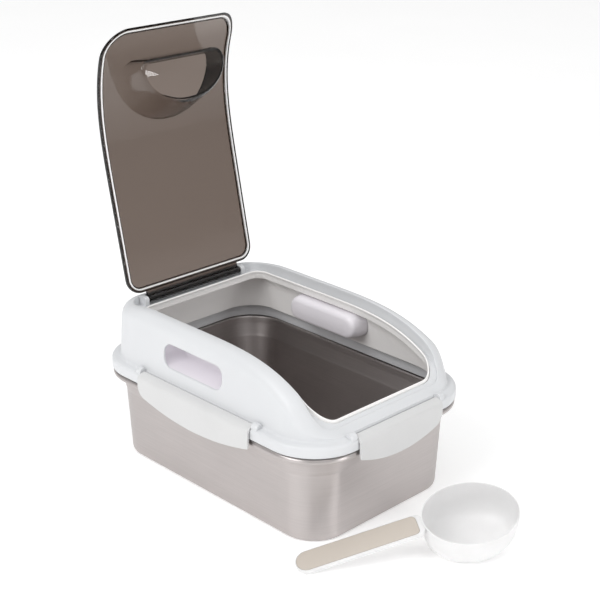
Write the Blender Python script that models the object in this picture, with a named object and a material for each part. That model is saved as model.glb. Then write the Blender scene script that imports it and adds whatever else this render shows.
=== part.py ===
"""Pet food storage bin: steel tub, clip-on white housing, smoked hinged lid, four latches and a scoop.

Metres, +Z up.  X is the width, -Y the front (the pouring end), +Y the hinge end.
The origin is the centre of the tub's underside.  The lid stands open, as the bin is shown in use.
"""
import math

import bmesh
import bpy
import numpy as np
from mathutils import Euler, Matrix, Vector

# ---------------------------------------------------------------- driving dimensions
LENGTH_OVER_WIDTH = 0.061          # every tub and flange outline is this much longer than wide, each side
CORNER_LESS = 0.0742               # outline corner radius = half width less this
FLANGE_BOTTOM_Z = 0.1176
NOTCH_FLOOR_Z = FLANGE_BOTTOM_Z + 0.0089      # floor of the latch notches in the flange
WALL_FOOT_Z = FLANGE_BOTTOM_Z + 0.0174        # where the housing wall leaves the flange fillet
WALL_TOP_Z = FLANGE_BOTTOM_Z + 0.0694
SHOULDER_DEPTH = 0.016
TUB_RIM_Z = FLANGE_BOTTOM_Z - 0.0018
SKIN = 0.0024                      # housing wall thickness
LINER_OUT = 0.0102                 # liner faces, measured in from the outside of the housing
LINER_IN = 0.0120

SEAT_Z = FLANGE_BOTTOM_Z + 0.0776  # level of the lid seat behind the brow
BROW_START_Y = 0.030               # the seat curves down in front of this
BROW_GAIN = 15.0
BROW_POWER = 3.6
TIP_START_Y = -0.145               # the tip of the lid curls down faster in front of this
TIP_GAIN = 6.0
CREST_RISE = 0.0096                # the crest stands this far above the seat
BAND_REACH_Y = -0.188              # outer edge of the sloping band in front of the opening
BAND_WIDTH = 0.030
BAND_SLOPE = 0.45

LID_HALF_WIDTH = 0.1028
LID_FRONT_Y = -0.1735
LID_REAR_Y = 0.1496
LID_FRONT_CORNER = 0.031
LID_REAR_CORNER = 0.020
LID_DEPTH = 0.0054                 # seat to top face
LID_OPEN_DEG = 102.0
POCKET_FLOOR_Z = FLANGE_BOTTOM_Z + 0.0254     # level floor of the finger pocket with the lid shut
HINGE_Y = 0.1597
HINGE_Z = SEAT_Z + 0.0011
BARREL_HALF_LENGTH = 0.0750
BARREL_RADIUS = 0.0045
LID_PIN_RADIUS = 0.0015
LUG_INNER_X = 0.0772
LUG_OUTER_X = 0.0835

GRIP_Y = 0.018
GRIP_Z = FLANGE_BOTTOM_Z + 0.0472
GRIP_HALF_LENGTH = 0.0525
GRIP_HALF_HEIGHT = 0.0150
CUP_LEAN = 0.104                   # the rim of a finger cup leans with the housing wall

LATCH_AXIS_OUT = 0.1325            # hinge axis of a side latch, from the middle plane
LATCH_AXIS_Z = FLANGE_BOTTOM_Z + 0.0134
LATCH_BARREL_RADIUS = 0.0033
LATCH_PIN_RADIUS = 0.0012
LATCH_CLEARANCE = 0.0006
LATCH_LOW = 0.0385                 # the bowed lower edge's lowest point, below the axis
LATCH_BOW = 0.0140
LATCH_ROUND_CORNER = 0.0100        # lower corner at the end away from the bin's front left corner
LATCH_SQUARE_CORNER = 0.0025
SIDE_LATCH_HALF = 0.0995
SIDE_LATCH_MID_Y = 0.0015
END_LATCH_HALF = 0.0690
BOSS_LENGTH = 0.0090
BOSS_RADIUS = 0.0055
BOSS_Z = LATCH_AXIS_Z + 0.0018     # the round bosses stand a little above their pins
GAP = 0.0003

CORNER_STEPS = 7
SIDE_STEPS = 14
CIRCLE_STEPS = 20


# ---------------------------------------------------------------- scene helpers
def clear_scene():
    for item in list(bpy.data.objects):
        bpy.data.objects.remove(item, do_unlink=True)


def new_collection(name):
    collection = bpy.data.collections.new(name)
    bpy.context.scene.collection.children.link(collection)
    return collection


def principled(name, colour, roughness, metallic=0.0, alpha=1.0):
    material = bpy.data.materials.new(name)
    material.use_nodes = True
    shader = material.node_tree.nodes["Principled BSDF"]
    shader.inputs["Base Color"].default_value = (*colour, 1.0)
    shader.inputs["Roughness"].default_value = roughness
    shader.inputs["Metallic"].default_value = metallic
    shader.inputs["Alpha"].default_value = alpha
    return material


def object_from(bm, name, collection, material=None, smooth_angle=35.0):
    """Turn a bmesh into an object with smooth round parts."""
    mesh = bpy.data.meshes.new(name)
    bm.to_mesh(mesh)
    bm.free()
    mesh.shade_smooth()
    mesh.set_sharp_from_angle(angle=math.radians(smooth_angle))
    piece = bpy.data.objects.new(name, mesh)
    collection.objects.link(piece)
    if material is not None:
        mesh.materials.append(material)
    return piece


def cutter_object(bm, name, collection):
    piece = object_from(bm, name, collection)
    piece.hide_render = True
    piece.display_type = 'WIRE'
    return piece


def boolean(target, operation, tool):
    modifier = target.modifiers.new(operation.lower() + "_" + tool.name, 'BOOLEAN')
    modifier.operation = operation
    modifier.solver = 'EXACT'
    modifier.object = tool


# ---------------------------------------------------------------- outlines and lofts
def outline(half_width, front, rear, front_corner, rear_corner):
    """Rounded rectangle, mirrored about X = 0; point i pairs with point -1 - i."""
    right = []
    for step in range(CORNER_STEPS + 1):
        turn = math.radians(90.0 - 90.0 * step / CORNER_STEPS)
        right.append((half_width - rear_corner + rear_corner * math.cos(turn),
                      rear - rear_corner + rear_corner * math.sin(turn)))
    top, bottom = rear - rear_corner, front + front_corner
    for step in range(1, SIDE_STEPS):
        share = (step / SIDE_STEPS) ** 0.75
        right.append((half_width, top + (bottom - top) * share))
    for step in range(CORNER_STEPS + 1):
        turn = math.radians(-90.0 * step / CORNER_STEPS)
        right.append((half_width - front_corner + front_corner * math.cos(turn),
                      front + front_corner + front_corner * math.sin(turn)))
    left = [(-x, y) for x, y in reversed(right)]
    return np.array(right + left)


def base_outline(half_width):
    """Outline family shared by the tub and the flange."""
    half_length = half_width + LENGTH_OVER_WIDTH
    corner = half_width - CORNER_LESS
    return outline(half_width, -half_length, half_length, corner, corner)


def lid_outline(inset):
    return outline(LID_HALF_WIDTH - inset, LID_FRONT_Y + inset, LID_REAR_Y - inset,
                   LID_FRONT_CORNER - inset, LID_REAR_CORNER - inset)


def dee_outline(half_width, front, rear, corner):
    """D shape: straight front edge with round corners, half-elliptic rear edge."""
    right = []
    centre = front + corner
    steps = 2 * CORNER_STEPS
    for step in range(steps + 1):
        turn = math.radians(86.0 * (1.0 - step / steps))
        right.append((half_width * math.cos(turn), centre + (rear - centre) * math.sin(turn)))
    for step in range(1, CORNER_STEPS + 1):
        turn = math.radians(-90.0 * step / CORNER_STEPS)
        right.append((half_width - corner + corner * math.cos(turn), centre + corner * math.sin(turn)))
    left = [(-x, y) for x, y in reversed(right)]
    return np.array(right + left)


def at(points, height):
    """Ring of an outline at one height, or at a height worked out for each point."""
    heights = height(points[:, 1]) if callable(height) else np.full(len(points), height)
    return np.column_stack([points, heights])


def face_outwards(bm):
    """Make the faces of one closed body point out."""
    bmesh.ops.recalc_face_normals(bm, faces=bm.faces)
    if bm.calc_volume(signed=True) < 0.0:
        bmesh.ops.reverse_faces(bm, faces=bm.faces)
    return bm


def loft(rings, closed=False, caps=True):
    """Skin rings of equal count; closed joins the last ring to the first, caps fill the two ends."""
    bm = bmesh.new()
    loops = [[bm.verts.new(Vector(point)) for point in ring] for ring in rings]
    count = len(loops[0])
    pairs = list(zip(loops, loops[1:]))
    if closed:
        pairs.append((loops[-1], loops[0]))
    for low, high in pairs:
        for i in range(count):
            j = (i + 1) % count
            bm.faces.new((low[i], low[j], high[j], high[i]))
    if caps and not closed:
        for loop in (loops[0], loops[-1]):
            for i in range(count // 2 - 1):
                bm.faces.new((loop[i], loop[i + 1], loop[-2 - i], loop[-1 - i]))
    return face_outwards(bm)


def add_box(bm, low, high):
    centre = [(a + b) / 2.0 for a, b in zip(low, high)]
    size = [b - a for a, b in zip(low, high)]
    matrix = Matrix.Translation(centre) @ Matrix.Diagonal((*size, 1.0))
    bmesh.ops.create_cube(bm, size=1.0, matrix=matrix)


def add_rod(bm, start, end, radius, segments=CIRCLE_STEPS):
    start, end = Vector(start), Vector(end)
    along = end - start
    turn = along.to_track_quat('Z', 'Y').to_matrix().to_4x4()
    matrix = Matrix.Translation((start + end) / 2.0) @ turn
    bmesh.ops.create_cone(bm, cap_ends=True, segments=segments, radius1=radius, radius2=radius,
                          depth=along.length, matrix=matrix)


# ---------------------------------------------------------------- heights that follow the brow
def smooth_step(value, low, high):
    share = np.clip((value - low) / (high - low), 0.0, 1.0)
    return share * share * (3.0 - 2.0 * share)


def seat(y):
    brow = BROW_GAIN * np.maximum(BROW_START_Y - np.asarray(y), 0.0) ** BROW_POWER
    tip = TIP_GAIN * np.maximum(TIP_START_Y - np.asarray(y), 0.0) ** 2
    return SEAT_Z - brow - tip


def front_fade(y):
    """1 along the sides, 0 at the front, where the crest and its groove run out."""
    return smooth_step(np.asarray(y), -0.174, -0.140)


def crest(y):
    """Top of the housing wall: above the seat at the sides, lower behind, a shallow band in front."""
    rear_drop = 0.0055 * smooth_step(np.asarray(y), 0.110, 0.165)
    rim = seat(y) + CREST_RISE * front_fade(y) - rear_drop
    band = WALL_FOOT_Z + BAND_SLOPE * np.minimum(np.asarray(y) - BAND_REACH_Y, BAND_WIDTH)
    return 0.5 * (rim + band + np.hypot(rim - band, 0.002))


def over_seat(offset):
    return lambda y: seat(y) + offset


def groove_floor(y):
    under_lid = seat(np.maximum(y, LID_FRONT_Y)) - 0.0014 - 0.0044 * front_fade(y)
    return np.minimum(under_lid, crest(y) - 0.0012)


# ---------------------------------------------------------------- tub and its seal
def build_tub(parts):
    foot = [(0.1135, 0.0), (0.1160, 0.0005), (0.1175, 0.0020), (0.1181, 0.0048)]
    rim = [(0.1224, -0.0278), (0.1233, -0.0253), (0.1246, -0.0178), (0.1262, -0.0098),
           (0.1295, -0.0076), (0.1362, -0.0071), (0.1377, -0.0056), (0.1379, -0.0028),
           (0.1368, -0.0006), (0.1345, 0.0), (0.1268, 0.0), (0.1253, -0.0013),
           (0.1250, -0.0098), (0.1234, -0.0178), (0.1221, -0.0248), (0.1212, -0.0278)]
    floor = [(0.1169, 0.0052), (0.1164, 0.0030), (0.1152, 0.0016), (0.1135, 0.0010)]
    profile = foot + [(half, TUB_RIM_Z + z) for half, z in rim] + floor
    bm = loft([at(base_outline(half), z) for half, z in profile])
    steel = principled("tub_steel", (0.50, 0.46, 0.43), 0.34, metallic=1.0)
    return object_from(bm, "steel_tub", parts, steel, smooth_angle=50.0)


def build_tub_seal(parts):
    profile = [(0.1280, GAP), (0.1335, GAP), (0.1335, 0.0015), (0.1280, 0.0015)]
    bm = loft([at(base_outline(half), TUB_RIM_Z + z) for half, z in profile], closed=True)
    rubber = principled("seal_rubber", (0.10, 0.10, 0.10), 0.60)
    return object_from(bm, "tub_seal", parts, rubber)


# ---------------------------------------------------------------- housing
def crest_outline(spread):
    """Outline of the rebate wall (spread 0) and of the crest around it."""
    return outline(0.1048 + spread, -0.1765 - spread, 0.1685 + spread, 0.0240 + spread, 0.0260 + spread)


def wall_outline(inset=0.0):
    return outline(0.1222 - inset, -0.1830 + inset, 0.1832 - inset, 0.0400 - inset, 0.0440 - inset)


def shoulder_rings(inset, turns):
    """Rings of the rounded shoulder between the crest and the wall, moved in by the inset."""
    foot_z = WALL_FOOT_Z - 0.6 * inset

    def top_and_depth(y):
        top = np.maximum(crest(y) - inset, foot_z + 0.0008)
        return top, np.minimum(SHOULDER_DEPTH, 0.75 * (top - foot_z))

    foot = base_outline(0.1276 - inset)
    head = wall_outline(inset)
    peak = crest_outline(0.0020 - 0.3 * inset)
    top, depth = top_and_depth(head[:, 1])
    rise = np.clip((top - depth - foot_z) / (WALL_TOP_Z - foot_z), 0.0, 1.2)[:, None]
    wall = foot + (head - foot) * rise
    rings = []
    for degrees in turns:
        turn = math.radians(degrees)
        plan = peak + (wall - peak) * math.sin(turn)
        top, depth = top_and_depth(plan[:, 1])
        rings.append(np.column_stack([plan, top - depth * (1.0 - math.cos(turn))]))
    return rings


def latch_sites():
    """The four latches: name, heading about Z, half length, shift along, shift outwards, squarer end."""
    end_shift = LENGTH_OVER_WIDTH
    return [("right", 0.0, SIDE_LATCH_HALF, SIDE_LATCH_MID_Y, 0.0, -1.0),
            ("rear", 90.0, END_LATCH_HALF, 0.0, end_shift, 1.0),
            ("left", 180.0, SIDE_LATCH_HALF, -SIDE_LATCH_MID_Y, 0.0, 1.0),
            ("front", 270.0, END_LATCH_HALF, 0.0, end_shift, -1.0)]


def site_matrix(heading, outward):
    """Frame of one latch: local X points away from the bin, local Y runs along the latch."""
    return Matrix.Rotation(math.radians(heading), 4, 'Z') @ Matrix.Translation((outward, 0.0, 0.0))


def grip_outline(half_length, half_height, corner):
    """Rounded slot in the Y, Z plane around the grip centre, as pairs mirrored top to bottom."""
    upper = []
    steps = CORNER_STEPS
    for start, centre_y in ((0.0, half_length - corner), (90.0, corner - half_length)):
        for step in range(steps + 1):
            turn = math.radians(start + 90.0 * step / steps)
            upper.append((centre_y + corner * math.cos(turn), half_height - corner + corner * math.sin(turn)))
    lower = [(y, -z) for y, z in reversed(upper)]
    return np.array(upper + lower)


def grip_ring(side, out, half_length, half_height, corner):
    plan = grip_outline(half_length, half_height, corner)
    return np.column_stack([np.full(len(plan), side * out), plan[:, 0] + GRIP_Y, plan[:, 1] + GRIP_Z])


def build_housing(parts, cutters):
    flange = [(0.1377, 0.0), (0.1390, 0.0010), (0.1390, 0.0106), (0.1382, 0.0128), (0.1362, 0.0141),
              (0.1340, 0.0144), (0.1300, 0.0148), (0.1283, 0.0157), (0.1276, 0.0174)]
    outer = [at(base_outline(half), FLANGE_BOTTOM_Z + rise) for half, rise in flange]
    outer += list(reversed(shoulder_rings(0.0, (4.0, 14.0, 28.0, 42.0, 57.0, 72.0, 90.0))))
    lip = [at(crest_outline(0.0010), lambda y: crest(y) + 0.0001),
           at(crest_outline(0.0003), lambda y: crest(y) - 0.0003),
           at(crest_outline(0.0), lambda y: crest(y) - 0.0010 * front_fade(y) - 0.0006),
           at(crest_outline(0.0), groove_floor),
           at(lid_outline(0.0023), groove_floor),
           at(lid_outline(0.0023), lambda y: groove_floor(y) - SKIN),
           at(crest_outline(0.0), lambda y: groove_floor(y) - SKIN - 0.0002)]
    inner = shoulder_rings(SKIN, (50.0, 90.0))
    inner += [at(base_outline(0.1276 - SKIN), z) for z in (WALL_FOOT_Z - 0.0020, FLANGE_BOTTOM_Z)]
    bm = loft(outer + lip + inner, closed=True)
    white = principled("housing_white", (0.83, 0.85, 0.87), 0.42)
    housing = object_from(bm, "housing_shell", parts, white)

    added = bmesh.new()
    for side in (-1.0, 1.0):
        low, high = sorted((side * LUG_INNER_X, side * LUG_OUTER_X))
        add_box(added, (low, HINGE_Y - 0.0046, SEAT_Z - 0.0070), (high, 0.1700, HINGE_Z + 0.0044))
    cut = bmesh.new()
    for side in (-1.0, 1.0):
        rings = [grip_ring(side, out, GRIP_HALF_LENGTH, GRIP_HALF_HEIGHT, 0.0125) for out in (0.112, 0.140)]
        append_to(cut, loft(rings))
    add_rod(cut, (-0.0830, HINGE_Y, HINGE_Z), (0.0830, HINGE_Y, HINGE_Z), LID_PIN_RADIUS + GAP, 16)
    notches = bmesh.new()
    for _, heading, half, shift, further, _ in latch_sites():
        frame = site_matrix(heading, LATCH_AXIS_OUT + further)
        local = bmesh.new()
        add_box(local, (-0.0039, shift - half - LATCH_CLEARANCE, NOTCH_FLOOR_Z),
                (0.0150, shift + half + LATCH_CLEARANCE, WALL_FOOT_Z + 0.0015))
        local.transform(frame)
        append_to(notches, local)
        for end in (-1.0, 1.0):
            start = shift + end * (half + LATCH_CLEARANCE)
            boss = bmesh.new()
            add_rod(boss, (0.0, start, BOSS_Z), (0.0, start + end * BOSS_LENGTH, BOSS_Z), BOSS_RADIUS, 20)
            boss.transform(frame)
            append_to(added, boss)
            bore = bmesh.new()
            add_rod(bore, (0.0, start - end * 0.002, LATCH_AXIS_Z),
                    (0.0, start + end * (BOSS_LENGTH - 0.0012), LATCH_AXIS_Z), LATCH_PIN_RADIUS + GAP, 12)
            bore.transform(frame)
            append_to(cut, bore)
    boolean(housing, 'DIFFERENCE', cutter_object(notches, "latch_notches", cutters))
    boolean(housing, 'UNION', cutter_object(added, "lugs_and_bosses", cutters))
    boolean(housing, 'DIFFERENCE', cutter_object(cut, "bores_and_grips", cutters))
    return housing


def append_to(target, source):
    """Copy one bmesh into another and free it."""
    mesh = bpy.data.meshes.new("scratch")
    source.to_mesh(mesh)
    source.free()
    target.from_mesh(mesh)
    bpy.data.meshes.remove(mesh)


def rib_outline(spread):
    """Outline of the sealing rib, spread outwards from its inner face."""
    return outline(0.0972 + spread, -0.1685 - spread, 0.1439 + spread, 0.0255 + spread, 0.0150 + spread)


def liner_foot(y):
    """Lower edge of the liner: level at the sides and rear, dipping at the low front."""
    return FLANGE_BOTTOM_Z + 0.0090 + 0.0090 * smooth_step(np.asarray(y), -0.176, -0.120)


def build_liner(parts, cutters):
    def under_groove(drop):
        return lambda y: groove_floor(y) - SKIN - drop

    rib = [(0.0021, -0.0010), (0.0016, -0.0007), (0.0008, -0.0007), (0.0002, -0.0011), (0.0, -0.0020),
           (0.0012, -0.0048)]
    rings = [at(rib_outline(spread), over_seat(rise)) for spread, rise in rib]
    rings += [at(rib_outline(0.0012), under_groove(0.0032)), at(crest_outline(-0.0028), under_groove(0.0032))]
    rings += list(reversed(shoulder_rings(LINER_IN, (90.0, 62.0))))
    for half, rise in ((0.1152, 0.0012), (0.1153, 0.0004), (0.1158, 0.0), (0.1166, 0.0), (0.1171, 0.0004),
                       (0.1171, 0.0012)):
        rings.append(at(base_outline(half), lambda y, rise=rise: liner_foot(y) + rise))
    rings += shoulder_rings(LINER_OUT, (90.0, 62.0))
    rings += [at(crest_outline(-0.0008), under_groove(0.0010)), at(rib_outline(0.0028), under_groove(0.0010)),
              at(rib_outline(0.0021), over_seat(-0.0040))]
    bm = loft(rings, closed=True)
    grey = principled("liner_grey", (0.62, 0.60, 0.58), 0.45)
    liner = object_from(bm, "inner_liner", parts, grey)
    cut = bmesh.new()
    for side in (-1.0, 1.0):
        append_to(cut, loft([grip_ring(side, out, 0.0606, 0.0174, 0.0162) for out in (0.1045, 0.130)]))
    boolean(liner, 'DIFFERENCE', cutter_object(cut, "grip_windows", cutters))
    return liner


def build_grip_cup(parts, name, side):
    thickness = 0.0018
    profile = [(0.1216, 0.0602, 0.0170, 0.0160), (0.1120, 0.0600, 0.0169, 0.0159),
               (0.1000, 0.0585, 0.0164, 0.0154), (0.0920, 0.0570, 0.0154, 0.0145),
               (0.0888, 0.0548, 0.0135, 0.0128), (0.0875, 0.0510, 0.0105, 0.0100)]
    outer = [grip_ring(side, out, length, height, corner) for out, length, height, corner in profile]
    inner = [grip_ring(side, out + (thickness if out < 0.115 else 0.0), length - thickness,
                       height - thickness, corner - thickness)
             for out, length, height, corner in reversed(profile)]
    for rim in (outer[0], inner[-1]):
        rim[:, 0] -= side * CUP_LEAN * (rim[:, 2] - GRIP_Z)
    bm = loft(outer + inner, caps=False)
    close_cup(bm, len(outer[0]), len(outer))
    lilac = principled(name + "_plastic", (0.68, 0.66, 0.68), 0.45)
    return object_from(bm, name, parts, lilac)


def close_cup(bm, count, depth):
    """Turn the open double skin into a cup: bottom caps on both skins and a rim joining them."""
    bm.verts.ensure_lookup_table()
    rings = [[bm.verts[k * count + i] for i in range(count)] for k in range(2 * depth)]
    for i in range(count):
        j = (i + 1) % count
        face = bm.faces.get((rings[depth - 1][i], rings[depth - 1][j], rings[depth][j], rings[depth][i]))
        bm.faces.remove(face)
        bm.faces.new((rings[0][i], rings[0][j], rings[-1][j], rings[-1][i]))
    for loop in (rings[depth - 1], rings[depth]):
        for i in range(count // 2 - 1):
            bm.faces.new((loop[i], loop[i + 1], loop[-2 - i], loop[-1 - i]))
    face_outwards(bm)


# ---------------------------------------------------------------- lid
def pocket_rings(inset, extension):
    """Pocket skin moved in by the inset; the first ring sits the extension above the seat line."""
    steps = [(0.0706, -0.1345, -0.0555, 1.0), (0.0690, -0.1343, -0.0612, 0.72),
             (0.0670, -0.1341, -0.0678, 0.42), (0.0655, -0.1338, -0.0730, 0.18),
             (0.0642, -0.1330, -0.0756, 0.05), (0.0610, -0.1302, -0.0790, 0.0)]
    rings = []
    for width, front, rear, share in steps:
        corner = 0.0120 + 0.0085 * share
        plan = dee_outline(width - inset, front + inset, rear - inset, corner - inset)
        y = plan[:, 1]
        if share == 1.0:
            rings.append(np.column_stack([plan, seat(y) + extension]))
        drop = seat(y) - 0.002 - POCKET_FLOOR_Z
        rings.append(np.column_stack([plan, POCKET_FLOOR_Z + inset + drop * share]))
    return rings


def build_lid(parts, cutters, pivot):
    steps = [(0.0068, 0.0030), (0.0068, 0.0010), (0.0056, 0.0010), (0.0056, 0.0033),
             (0.0020, 0.0033), (0.0020, 0.0005), (0.0004, 0.0005), (0.0, 0.0011),
             (0.0, 0.0044), (0.0004, 0.0051), (0.0014, LID_DEPTH)]
    bm = loft([at(lid_outline(inset), over_seat(rise)) for inset, rise in steps])
    smoke = principled("lid_smoke", (0.16, 0.12, 0.10), 0.12, alpha=0.55)
    lid = object_from(bm, "lid_panel", parts, smoke)

    pocket = loft(pocket_rings(0.0, 0.0042))
    boolean(lid, 'UNION', cutter_object(pocket, "pocket_skin", cutters))
    tongue = bmesh.new()
    add_box(tongue, (-BARREL_HALF_LENGTH, LID_REAR_Y - 0.001, SEAT_Z + 0.0016),
            (BARREL_HALF_LENGTH, HINGE_Y, SEAT_Z + 0.0046))
    boolean(lid, 'UNION', cutter_object(tongue, "hinge_tongue", cutters))
    barrel = bmesh.new()
    add_rod(barrel, (-BARREL_HALF_LENGTH - 0.0002, HINGE_Y, HINGE_Z),
            (BARREL_HALF_LENGTH + 0.0002, HINGE_Y, HINGE_Z), BARREL_RADIUS, CIRCLE_STEPS)
    boolean(lid, 'UNION', cutter_object(barrel, "hinge_barrel", cutters))
    cut = loft(pocket_rings(0.0020, 0.0140))
    add_rod(cut, (-0.0900, HINGE_Y, HINGE_Z), (0.0900, HINGE_Y, HINGE_Z), LID_PIN_RADIUS + GAP, 16)
    boolean(lid, 'DIFFERENCE', cutter_object(cut, "pocket_and_bore", cutters))

    gasket_steps = [(0.0024, 0.0029), (0.0024, 0.0004), (0.0029, -0.0003), (0.0047, -0.0003),
                    (0.0052, 0.0004), (0.0052, 0.0029)]
    bm = loft([at(lid_outline(inset), over_seat(rise)) for inset, rise in gasket_steps],
              closed=True)
    rubber = principled("gasket_white", (0.87, 0.86, 0.84), 0.5)
    gasket = object_from(bm, "lid_gasket", parts, rubber)

    for tool in cutters.objects:
        if tool.name in ("pocket_skin", "hinge_tongue", "hinge_barrel", "pocket_and_bore"):
            tool.parent = pivot
            tool.matrix_parent_inverse = Matrix.Translation((0.0, -HINGE_Y, -HINGE_Z))
    for piece in (lid, gasket):
        piece.parent = pivot
        piece.matrix_parent_inverse = Matrix.Translation((0.0, -HINGE_Y, -HINGE_Z))


def build_pins(parts):
    steel = principled("pin_steel", (0.62, 0.61, 0.60), 0.3, metallic=1.0)
    bm = bmesh.new()
    add_rod(bm, (-0.0826, HINGE_Y, HINGE_Z), (0.0826, HINGE_Y, HINGE_Z), LID_PIN_RADIUS, 16)
    object_from(bm, "lid_hinge_pin", parts, steel)
    for name, heading, half, shift, further, _ in latch_sites():
        reach = half + LATCH_CLEARANCE + BOSS_LENGTH - 0.0016
        bm = bmesh.new()
        ends = [(0.0, shift + end * reach, LATCH_AXIS_Z) for end in (-1.0, 1.0)]
        add_rod(bm, ends[0], ends[1], LATCH_PIN_RADIUS, 12)
        bm.transform(site_matrix(heading, LATCH_AXIS_OUT + further))
        object_from(bm, "latch_pin_" + name, parts, steel)


# ---------------------------------------------------------------- latches
def latch_section(low):
    """Closed section of a latch in its own frame: X out from the hinge axis, Z from the hinge axis."""
    r = LATCH_BARREL_RADIUS
    turns = [math.radians(a) for a in (285, 250, 215, 180, 145, 110, 75)]
    section = [(r * math.cos(turn), r * math.sin(turn)) for turn in turns]
    section += [(0.0045, 0.0022), (0.0080, 0.0004), (0.0096, -0.0010), (0.0104, -0.0034),
                (0.0105, low + 0.0012), (0.0098, low), (0.0090, low), (0.0082, low + 0.0010),
                (0.0080, -0.0048), (0.0072, -0.0034), (0.0040, -0.0026)]
    return section


def latch_low(y, half, square_end):
    """Bowed lower edge, measured from the hinge axis, with one nearly square corner and one round one."""
    corner = LATCH_SQUARE_CORNER if y * square_end > 0.0 else LATCH_ROUND_CORNER
    low = -LATCH_LOW + LATCH_BOW * (y / half) ** 2
    past = abs(y) - (half - corner)
    if past > 0.0:
        low += corner - math.sqrt(max(corner ** 2 - past ** 2, 0.0))
    return low


def build_latch(parts, cutters, name, heading, half, shift, further, square_end):
    stations = [-1.0, -0.994, -0.975, -0.945, -0.90, -0.75, -0.55, -0.3, 0.0,
                0.3, 0.55, 0.75, 0.90, 0.945, 0.975, 0.994, 1.0]
    bm = bmesh.new()
    loops = []
    for share in stations:
        y = share * half
        section = latch_section(latch_low(y, half, square_end))
        loops.append([bm.verts.new((x, y + shift, z)) for x, z in section])
    count = len(loops[0])
    for low, high in zip(loops, loops[1:]):
        for i in range(count):
            j = (i + 1) % count
            bm.faces.new((low[i], low[j], high[j], high[i]))
    bm.faces.new(loops[0])
    bm.faces.new(reversed(loops[-1]))
    face_outwards(bm)
    frame = site_matrix(heading, LATCH_AXIS_OUT + further) @ Matrix.Translation((0.0, 0.0, LATCH_AXIS_Z))
    white = principled("latch_white_" + name, (0.80, 0.80, 0.80), 0.42)
    latch = object_from(bm, "latch_" + name, parts, white, smooth_angle=40.0)
    latch.matrix_world = frame

    catch = bmesh.new()
    reach = 0.62 * half
    add_box(catch, (0.0008, shift - reach, -0.0256), (0.0090, shift + reach, -0.0236))
    catch.transform(frame)
    boolean(latch, 'UNION', cutter_object(catch, "catch_" + name, cutters))
    bore = bmesh.new()
    past = half + 0.01
    add_rod(bore, (0.0, shift - past, 0.0), (0.0, shift + past, 0.0), LATCH_PIN_RADIUS + GAP, 12)
    bore.transform(frame)
    boolean(latch, 'DIFFERENCE', cutter_object(bore, "latch_bore_" + name, cutters))


# ---------------------------------------------------------------- scoop
SCOOP_YAW_DEG = -32.0
SCOOP_ROLL_DEG = 16.0
SCOOP_PITCH_DEG = -5.4
HANDLE_DROP_DEG = 10.6              # the handle runs down from the bowl's rim to the floor
SCOOP_PLACE = (0.0034, -0.3035, 0.0528)
BOWL_HALF_LENGTH = 0.0561
BOWL_HALF_WIDTH = 0.0460
BOWL_DEPTH = 0.0470
HANDLE_LENGTH = 0.148
HANDLE_HALF_WIDTH = 0.0145
HANDLE_THICKNESS = 0.0062


def oval(half_length, half_width, height, count=36):
    turns = [math.radians(4.0 + 352.0 * i / (count - 1)) for i in range(count)]
    return np.array([(half_length * math.cos(t), half_width * math.sin(t), height(half_length * math.cos(t)))
                     for t in turns])


def scoop_matrix():
    turn = Euler((math.radians(SCOOP_ROLL_DEG), math.radians(SCOOP_PITCH_DEG), 0.0)).to_matrix().to_4x4()
    return Matrix.Translation(SCOOP_PLACE) @ Matrix.Rotation(math.radians(SCOOP_YAW_DEG), 4, 'Z') @ turn


def build_scoop(parts, cutters):
    wall = 0.0016
    shape = [(1.0, 0.0), (0.99, 0.22), (0.965, 0.44), (0.925, 0.64), (0.85, 0.81), (0.73, 0.925),
             (0.55, 0.985), (0.35, 1.0)]
    outer, inner = [], []
    for size, drop in shape:
        level = lambda x, d=drop: -BOWL_DEPTH * d
        outer.append(oval(BOWL_HALF_LENGTH * size, BOWL_HALF_WIDTH * size, level))
        raised = lambda x, d=drop: -(BOWL_DEPTH - wall) * d
        inner.append(oval(BOWL_HALF_LENGTH * size - wall, BOWL_HALF_WIDTH * size - wall, raised))
    rings = outer + list(reversed(inner))
    bm = loft(rings, caps=False)
    close_cup(bm, len(outer[0]), len(outer))
    clear_plastic = principled("scoop_clear", (0.90, 0.91, 0.92), 0.25, alpha=0.75)
    scoop = object_from(bm, "scoop_body", parts, clear_plastic)

    root = -BOWL_HALF_LENGTH + 0.0009
    top = -0.0005
    handle = slot_plate(root, root - HANDLE_LENGTH, HANDLE_HALF_WIDTH, top - HANDLE_THICKNESS, top)
    boolean(scoop, 'UNION', cutter_object(handle, "handle_blank", cutters))
    recess = slot_plate(root - 0.0060, root - HANDLE_LENGTH + 0.0012, HANDLE_HALF_WIDTH - 0.0012,
                        top - 0.0021, top + 0.004)
    boolean(scoop, 'DIFFERENCE', cutter_object(recess, "handle_recess", cutters))
    inlay_bm = slot_plate(root - 0.0063, root - HANDLE_LENGTH + 0.0015, HANDLE_HALF_WIDTH - 0.0015,
                          top - 0.0018, top + 0.0004)
    beige = principled("inlay_beige", (0.60, 0.54, 0.47), 0.5)
    inlay = object_from(inlay_bm, "scoop_handle_inlay", parts, beige)
    frame = scoop_matrix()
    hang = (Matrix.Translation((root, 0.0, 0.0)) @ Matrix.Rotation(math.radians(-HANDLE_DROP_DEG), 4, 'Y')
            @ Matrix.Translation((-root, 0.0, 0.0)))
    scoop.matrix_world = frame
    for piece in (inlay, cutters.objects["handle_blank"], cutters.objects["handle_recess"]):
        piece.matrix_world = frame @ hang


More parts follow.
